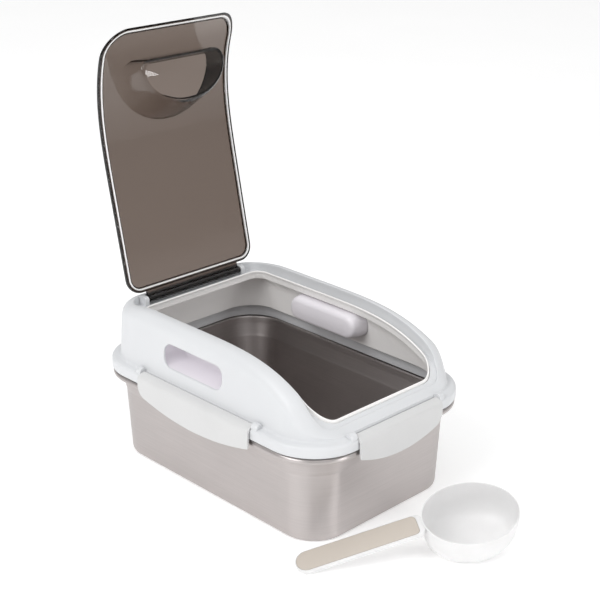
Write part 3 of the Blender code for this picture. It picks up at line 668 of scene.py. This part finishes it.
def build_housing():
    flange = [(0.1377, 0.0), (0.1390, 0.0010), (0.1390, 0.0106), (0.1382, 0.0128), (0.1362, 0.0141),
              (0.1340, 0.0144), (0.1300, 0.0148), (0.1283, 0.0157), (WALL_FOOT_HALF, 0.0174)]
    outer = [at(base_outline(half), FLANGE_BOTTOM_Z + rise) for half, rise in flange]
    bend = (4.0, 10.0, 18.0, 27.0, 36.0, 45.0, 54.0, 63.0, 72.0, 81.0, 90.0)
    outer += list(reversed(shoulder_rings(0.0, bend)))
    lip = [at(crest_outline(0.0010), lambda y: crest(y) + 0.0001),
           at(crest_outline(0.0003), lambda y: crest(y) - 0.0003),
           at(crest_outline(0.0), lambda y: crest(y) - 0.0010 * front_fade(y) - 0.0006),
           at(crest_outline(0.0), groove_floor),
           at(lid_outline(0.0023), groove_floor),
           at(lid_outline(0.0023), lambda y: groove_floor(y) - SKIN),
           at(crest_outline(0.0), lambda y: groove_floor(y) - SKIN - 0.0002)]
    inner = shoulder_rings(SKIN, (38.0, 62.0, 90.0))
    inner += [at(base_outline(WALL_FOOT_HALF - SKIN), z) for z in (WALL_FOOT_Z - 0.0020, FLANGE_BOTTOM_Z)]
    bm = loft(outer + lip + inner, closed=True, reach=0.0006)
    housing = object_from(bm, "housing", WHITE)

    notches, added, cut = bmesh.new(), bmesh.new(), bmesh.new()
    for side in (-1.0, 1.0):
        append_to(added, rounded_lug(sorted((side * LUG_INNER_X, side * LUG_OUTER_X))))
    grips = ((0.112, 0.0), (0.1234, 0.0), (0.1241, 0.0002), (0.1246, 0.0008), (0.1249, 0.0018),
             (0.1262, 0.0070))
    for side in (-1.0, 1.0):
        append_to(cut, loft([leaning_ring(side, out, grow) for out, grow in grips]))
    add_hinge_rod(cut, 0.0830, LID_PIN_RADIUS + GAP, LID_PIN_STEPS)
    for _, heading, half, shift, further, _ in latch_sites():
        here = site_matrix(heading, LATCH_AXIS_OUT + further)
        notch = bmesh.new()
        add_box(notch, (-0.0039, shift - half - LATCH_CLEARANCE, NOTCH_FLOOR_Z),
                (0.0150, shift + half + LATCH_CLEARANCE, WALL_FOOT_Z + 0.0015))
        notch.transform(here)
        append_to(notches, notch)
        for end in (-1.0, 1.0):
            start = shift + end * (half + LATCH_CLEARANCE)
            for target, tool in ((added, latch_boss(start, end)), (cut, latch_bore(start, end))):
                tool.transform(here)
                append_to(target, tool)
    carve(housing, (('DIFFERENCE', notches), ('UNION', added), ('DIFFERENCE', cut)))
    place(housing, "bin", "housing_plastic", "housing_shell")


def add_hinge_rod(bm, reach, radius, segments):
    """Rod along the lid's hinge axis, reaching equally far to both sides."""
    add_rod(bm, (-reach, HINGE_Y, HINGE_Z), (reach, HINGE_Y, HINGE_Z), radius, segments)


def latch_boss(start, end):
    """Round boss beside a latch notch, with its outer edge rounded."""
    profile = ((0.0, BOSS_RADIUS - 0.0002), (0.0003, BOSS_RADIUS), (BOSS_LENGTH - 0.0009, BOSS_RADIUS),
               (BOSS_LENGTH - 0.0003, BOSS_RADIUS - 0.0003), (BOSS_LENGTH, BOSS_RADIUS - 0.0010))
    return loft([disc_ring((0.0, start + end * along, BOSS_Z), radius) for along, radius in profile])


def latch_bore(start, end):
    """Blind bore for a latch pin in its boss."""
    bore = bmesh.new()
    add_rod(bore, (0.0, start - end * 0.002, LATCH_AXIS_Z),
            (0.0, start + end * (BOSS_LENGTH - 0.0012), LATCH_AXIS_Z), LATCH_PIN_RADIUS + GAP,
            LATCH_PIN_STEPS)
    return bore


def disc_ring(centre, radius):
    """Ring round a line along Y, as pairs mirrored top to bottom."""
    half_count = BOSS_STEPS // 2
    turns = [math.radians(180.0 * (i + 0.5) / half_count) for i in range(half_count)]
    upper = [(centre[0] + radius * math.cos(t), centre[1], centre[2] + radius * math.sin(t)) for t in turns]
    lower = [(x, y, 2.0 * centre[2] - z) for x, y, z in reversed(upper)]
    return np.array(upper + lower)


def rounded_lug(reach):
    """Hinge lug: a plate across X with a rounded top."""
    low_y, high_y = HINGE_Y - 0.0046, 0.1700
    low_z, high_z = SEAT_Z - 0.0070, HINGE_Z + 0.0044
    centre_z = high_z - LUG_ROUND
    rings = []
    for x in (reach[0], reach[0] + LUG_EDGE, reach[1] - LUG_EDGE, reach[1]):
        tuck = LUG_EDGE if x in reach else 0.0
        radius = LUG_ROUND - tuck
        plan = []
        for start, centre_y in ((0.0, high_y - LUG_ROUND), (90.0, low_y + LUG_ROUND)):
            for step in range(LUG_STEPS + 1):
                turn = math.radians(start + 90.0 * step / LUG_STEPS)
                plan.append((x, centre_y + radius * math.cos(turn), centre_z + radius * math.sin(turn)))
        plan += [(x, low_y + tuck, low_z), (x, high_y - tuck, low_z)]
        rings.append(plan)
    return prism(rings)


def build_liner():
    def under_groove(drop):
        return lambda y: groove_floor(y) - SKIN - drop

    rib = [(0.0021, -0.0010), (0.0016, -0.0007), (0.0008, -0.0007), (0.0002, -0.0011), (0.0, -0.0020),
           (0.0012, -0.0048)]
    rings = [at(rib_outline(grow), over_seat(rise)) for grow, rise in rib]
    rings += [at(rib_outline(0.0012), under_groove(0.0032)), at(crest_outline(-0.0028), under_groove(0.0032))]
    rings += list(reversed(shoulder_rings(LINER_IN, (90.0, 76.0, 62.0))))
    for half, rise in ((0.1152, 0.0012), (0.1153, 0.0004), (0.1158, 0.0), (0.1166, 0.0), (0.1171, 0.0004),
                       (0.1171, 0.0012)):
        rings.append(at(base_outline(half), lambda y, rise=rise: liner_foot(y) + rise))
    rings += shoulder_rings(LINER_OUT, (90.0, 76.0, 62.0))
    rings += [at(crest_outline(-0.0008), under_groove(0.0010)), at(rib_outline(0.0028), under_groove(0.0010)),
              at(rib_outline(0.0021), over_seat(-0.0040))]
    liner = object_from(loft(rings, closed=True, reach=0.0005), "liner", LINER_PAINTED_BOUNCE)
    cut = bmesh.new()
    for side in (-1.0, 1.0):
        append_to(cut, loft([grip_ring(side, out, 0.0606, 0.0174, 0.0162) for out in (0.1045, 0.130)]))
    carve(liner, (('DIFFERENCE', cut),))
    place(liner, "bin", "liner_plastic", "inner_liner")


def build_grip_cup(side_name, side):
    thickness = 0.0018
    profile = [(0.1216, 0.0602, 0.0170, 0.0160), (0.1120, 0.0600, 0.0169, 0.0159),
               (0.1000, 0.0585, 0.0164, 0.0154), (0.0920, 0.0570, 0.0154, 0.0145),
               (0.0888, 0.0548, 0.0135, 0.0128), (0.0875, 0.0510, 0.0105, 0.0100)]
    outer = [grip_ring(side, out, length, height, corner) for out, length, height, corner in profile]
    inner = [grip_ring(side, out + (thickness if out < 0.115 else 0.0), length - thickness,
                       height - thickness, corner - thickness)
             for out, length, height, corner in reversed(profile)]
    for rim in (outer[0], inner[-1]):
        lean_ring(rim, side)
    outer = soften(soften(outer, 0.0030), 0.0014)
    inner = soften(soften(inner, 0.0030), 0.0014)
    bm = loft(outer + inner, caps=False)
    close_cup(bm, len(outer[0]), len(outer))
    cup = object_from(bm, "finger_cup_" + side_name, GRIP_LILAC, 40.0)
    place(cup, "bin", "grip_plastic", "grip_cup_" + side_name)


def pocket_rings(inset, extension):
    """Finger pocket of the lid, moved in by the inset, its top ring raised above the seat."""
    steps = [(0.0706, -0.1345, -0.0555, 1.0), (0.0690, -0.1343, -0.0612, 0.72),
             (0.0670, -0.1341, -0.0678, 0.42), (0.0655, -0.1338, -0.0730, 0.18),
             (0.0642, -0.1330, -0.0756, 0.05), (0.0610, -0.1302, -0.0790, 0.0)]
    rings = []
    for width, front, rear, share in steps:
        corner = 0.0120 + 0.0085 * share
        plan = dee_outline(width - inset, front + inset, rear - inset, corner - inset)
        y = plan[:, 1]
        if share == 1.0:
            rings.append(np.column_stack([plan, seat(y) + extension]))
        drop = seat(y) - 0.002 - POCKET_FLOOR_Z
        rings.append(np.column_stack([plan, POCKET_FLOOR_Z + inset + drop * share]))
    return soften(soften(rings, 0.0022), 0.0009)


def build_lid():
    steps = [(0.0070, 0.0030), (0.0070, 0.0008), (0.0056, 0.0008), (0.0056, 0.0033),
             (0.0029, 0.0033), (0.0029, 0.0005), (0.0004, 0.0005), (0.0, 0.0011),
             (0.0, 0.0044), (0.0004, 0.0051), (0.0014, LID_DEPTH)]
    bm = loft([at(lid_outline(inset), over_seat(rise)) for inset, rise in steps], reach=0.0005)
    lid = object_from(bm, "lid", SMOKE)
    tongue = bmesh.new()
    add_box(tongue, (-BARREL_HALF_LENGTH, LID_REAR_Y - 0.001, SEAT_Z + 0.0016),
            (BARREL_HALF_LENGTH, HINGE_Y, SEAT_Z + 0.0046))
    barrel = bmesh.new()
    add_hinge_rod(barrel, BARREL_HALF_LENGTH + 0.0002, BARREL_RADIUS, CIRCLE_STEPS)
    cut = loft(pocket_rings(0.0020, 0.0140))
    add_hinge_rod(cut, 0.0900, LID_PIN_RADIUS + GAP, LID_PIN_STEPS)
    carve(lid, (('UNION', loft(pocket_rings(0.0, 0.0042))), ('UNION', tongue), ('UNION', barrel),
                ('DIFFERENCE', cut)))
    lid.data.transform(lid_pose())
    place(lid, "lid", "smoked_plastic", "lid_panel")

    gasket_steps = [(0.0031, 0.0029), (0.0031, 0.0004), (0.0034, -0.0003), (0.0048, -0.0003),
                    (0.0052, 0.0004), (0.0052, 0.0029)]
    bm = loft([at(lid_outline(inset), over_seat(rise)) for inset, rise in gasket_steps], closed=True,
              reach=0.0005)
    bm.transform(lid_pose())
    place(object_from(bm, "gasket", GASKET), "lid", "seal", "lid_gasket")


def build_pins():
    bm = bmesh.new()
    add_hinge_rod(bm, 0.0826, LID_PIN_RADIUS, LID_PIN_STEPS)
    place(object_from(bm, "lid_pin", PIN_STEEL), "bin", "pin_steel", "lid_hinge_pin")
    for name, heading, half, shift, further, _ in latch_sites():
        reach = half + LATCH_CLEARANCE + BOSS_LENGTH - 0.0016
        bm = bmesh.new()
        ends = [(0.0, shift + end * reach, LATCH_AXIS_Z) for end in (-1.0, 1.0)]
        add_rod(bm, *ends, LATCH_PIN_RADIUS, LATCH_PIN_STEPS)
        bm.transform(site_matrix(heading, LATCH_AXIS_OUT + further))
        place(object_from(bm, "pin_" + name, PIN_STEEL), "bin", "pin_steel", "latch_pin_" + name)


def build_latch(name, heading, half, shift, further, square_end):
    ends = 1.0 - np.array([0.0, 0.0007, 0.002, 0.004, 0.008, 0.014, 0.021, 0.030, 0.042, 0.062, 0.086])
    stations = np.concatenate([-ends, np.linspace(-0.88, 0.88, 41), ends[::-1]])
    rings = []
    for share in stations:
        y = share * half
        section = [np.array([point]) for point in latch_section(latch_low(y, half, square_end))]
        section = soften(soften(section, 0.0007, True), 0.0003, True)
        rings.append([(point[0][0], y + shift, point[0][1]) for point in section])
    latch = object_from(prism(rings), name + "_flap", LATCH_WHITE, 40.0)
    catch = bmesh.new()
    reach = CATCH_SHARE * half
    add_box(catch, (0.0008, shift - reach, -0.0256), (0.0090, shift + reach, -0.0236))
    bore = bmesh.new()
    past = half + 0.01
    add_rod(bore, (0.0, shift - past, 0.0), (0.0, shift + past, 0.0), LATCH_PIN_RADIUS + GAP,
            LATCH_PIN_STEPS)
    carve(latch, (('UNION', catch), ('DIFFERENCE', bore)), 40.0)
    stand = site_matrix(heading, LATCH_AXIS_OUT + further) @ Matrix.Translation((0.0, 0.0, LATCH_AXIS_Z))
    latch.data.transform(stand)
    place(latch, name + "_latch", "latch_plastic", "latch_" + name)


def slot_rings(near, far, half_width, levels):
    """Rings of a flat bar along X with a square-ish near end and a round far end."""
    rings = []
    for inset, height in levels:
        width = half_width - inset
        near_corner, far_corner = 0.45 * half_width - inset, 0.98 * half_width - inset
        plan = []
        corners = ((near - inset - near_corner, width - near_corner, 0.0, near_corner),
                   (far + inset + far_corner, width - far_corner, 90.0, far_corner))
        for x, y, start, radius in corners:
            for step in range(CORNER_STEPS + 1):
                turn = math.radians(start + 90.0 * step / CORNER_STEPS)
                plan.append((x + radius * math.cos(turn), y + radius * math.sin(turn)))
        plan += [(x, -y) for x, y in reversed(plan)]
        rings.append(at(np.array(plan), height))
    return rings


def build_scoop():
    shape = [(1.0, 0.0), (0.99, 0.22), (0.965, 0.44), (0.925, 0.64), (0.85, 0.81), (0.73, 0.925),
             (0.55, 0.985), (0.35, 1.0)]
    outer, inner = [], []
    for size, drop in shape:
        length, width = BOWL_HALF_LENGTH * size, BOWL_HALF_WIDTH * size
        outer.append(oval(length, width, -BOWL_DEPTH * drop))
        inner.append(oval(length - BOWL_WALL, width - BOWL_WALL, -(BOWL_DEPTH - BOWL_WALL) * drop))
    outer = soften(soften(outer, 0.0040), 0.0020)
    inner = soften(soften(inner, 0.0040), 0.0020)
    bm = loft(outer + list(reversed(inner)), caps=False)
    close_cup(bm, len(outer[0]), len(outer))
    scoop = object_from(bm, "scoop", FROSTED, 40.0)

    root = -BOWL_HALF_LENGTH + 0.0009
    top = -0.0005
    base = top - HANDLE_THICKNESS
    hang = (Matrix.Translation((root, 0.0, 0.0)) @ Matrix.Rotation(math.radians(-HANDLE_DROP_DEG), 4, 'Y')
            @ Matrix.Translation((-root, 0.0, 0.0)))
    tip = root - HANDLE_LENGTH
    levels = ((0.0012, base), (0.0003, base + 0.0004), (0.0, base + 0.0012), (0.0, top - 0.0006),
              (0.0002, top - 0.0002), (0.0006, top))
    handle = loft(slot_rings(root, tip, HANDLE_HALF_WIDTH, levels))
    recess = loft(slot_rings(root - 0.0060, tip + 0.0012, HANDLE_HALF_WIDTH - 0.0012,
                             ((0.0, top - 0.0021), (0.0, top + 0.004))))
    for tool in (handle, recess):
        tool.transform(hang)
    carve(scoop, (('UNION', handle), ('DIFFERENCE', recess)), 40.0)
    scoop.data.transform(scoop_matrix())
    place(scoop, "scoop", "scoop_plastic", "scoop_body")

    levels = ((0.0, top - 0.0018), (0.0, top), (0.0002, top + 0.0003), (0.0006, top + 0.0004))
    inlay = loft(slot_rings(root - 0.0063, tip + 0.0015, HANDLE_HALF_WIDTH - 0.0015, levels))
    inlay.transform(scoop_matrix() @ hang)
    place(object_from(inlay, "handle_inlay", BEIGE), "scoop", "inlay_plastic", "scoop_handle_inlay")


build_tub()
build_tub_seal()
build_housing()
build_liner()
build_grip_cup("left", -1.0)
build_grip_cup("right", 1.0)
build_lid()
build_pins()
for latch_site in latch_sites():
    build_latch(*latch_site)
build_scoop()


# ---------------------------------------------------------------- studio and camera
FLOOR_GLOW = 0.29
WORLD_LIGHT = 0.38                 # how strongly the world lights the scene
WORLD_SEEN = 0.64                  # the backdrop's own brightness, close to the far floor's
WHITE_LIGHT = (1.0, 1.0, 1.0, 1.0)
STUDIO_MIDDLE = (0.0, -0.05, 0.15)
FLOOR_HALF_SIZE = 20.0
FLOOR_Z = -0.0002                  # just under the tub's flat base
CAMERA_PLACE = (-1.059, -1.1265, 0.8435)
CAMERA_HEADING_DEG = 44.15         # from +Y towards +X
CAMERA_DIP_DEG = 21.97
CAMERA_LENS = 82.81


def build_floor():
    material, tree, shader = new_material("studio_floor")
    tone = spread(tree, add_noise(tree, 3.0, 2.0), 0.0, 1.0)
    colour = blend_colours(tree, tone, (0.90, 0.90, 0.90), (0.885, 0.885, 0.885))
    tree.links.new(colour, shader.inputs["Base Color"])
    shader.inputs["Roughness"].default_value = 0.65
    shader.inputs["Emission Color"].default_value = WHITE_LIGHT
    shader.inputs["Emission Strength"].default_value = FLOOR_GLOW
    bm = bmesh.new()
    bmesh.ops.create_grid(bm, x_segments=4, y_segments=4, size=FLOOR_HALF_SIZE)
    floor = object_from(bm, "floor", material)
    floor.location.z = FLOOR_Z


def add_area(name, position, target, width, height, power):
    light = bpy.data.lights.new(name, 'AREA')
    light.shape = 'RECTANGLE'
    light.size, light.size_y = width, height
    light.energy = power
    lamp = bpy.data.objects.new(name, light)
    bpy.context.scene.collection.objects.link(lamp)
    lamp.location = position
    lamp.rotation_euler = (Vector(target) - Vector(position)).to_track_quat('-Z', 'Y').to_euler()


def build_studio():
    scene = bpy.context.scene
    world = bpy.data.worlds.new("studio")
    world.use_nodes = True
    tree = world.node_tree
    background = tree.nodes["Background"]
    background.inputs["Color"].default_value = WHITE_LIGHT
    ray = tree.nodes.new("ShaderNodeLightPath")
    strength = tree.nodes.new("ShaderNodeMath")
    strength.operation = 'MULTIPLY_ADD'
    strength.inputs[1].default_value = WORLD_SEEN - WORLD_LIGHT
    strength.inputs[2].default_value = WORLD_LIGHT
    tree.links.new(ray.outputs["Is Camera Ray"], strength.inputs[0])
    tree.links.new(strength.outputs["Value"], background.inputs["Strength"])
    scene.world = world
    scene.view_settings.view_transform = 'Standard'
    add_area("ceiling", (1.0, 1.4, 6.0), (1.0, 1.4, 0.0), 14.0, 14.0, 330.0)
    add_area("key", (-2.6, 0.1, 2.3), STUDIO_MIDDLE, 1.8, 1.8, 51.0)
    add_area("front_fill", (-0.9, -1.9, 2.6), STUDIO_MIDDLE, 1.2, 1.2, 9.0)
    add_area("strip", (0.35, -2.1, 0.55), STUDIO_MIDDLE, 0.30, 1.1, 9.0)


def build_camera():
    heading, dip = math.radians(CAMERA_HEADING_DEG), math.radians(CAMERA_DIP_DEG)
    ahead = Vector((math.sin(heading) * math.cos(dip), math.cos(heading) * math.cos(dip), -math.sin(dip)))
    right = Vector((math.cos(heading), -math.sin(heading), 0.0))
    up = right.cross(ahead)
    data = bpy.data.cameras.new("camera")
    data.lens = CAMERA_LENS
    data.sensor_width = 36.0
    data.clip_end = 60.0
    camera = bpy.data.objects.new("camera", data)
    bpy.context.scene.collection.objects.link(camera)
    facing = Matrix((right, up, -ahead)).transposed().to_4x4()
    camera.matrix_world = Matrix.Translation(CAMERA_PLACE) @ facing
    bpy.context.scene.camera = camera


build_floor()
build_studio()
build_camera()
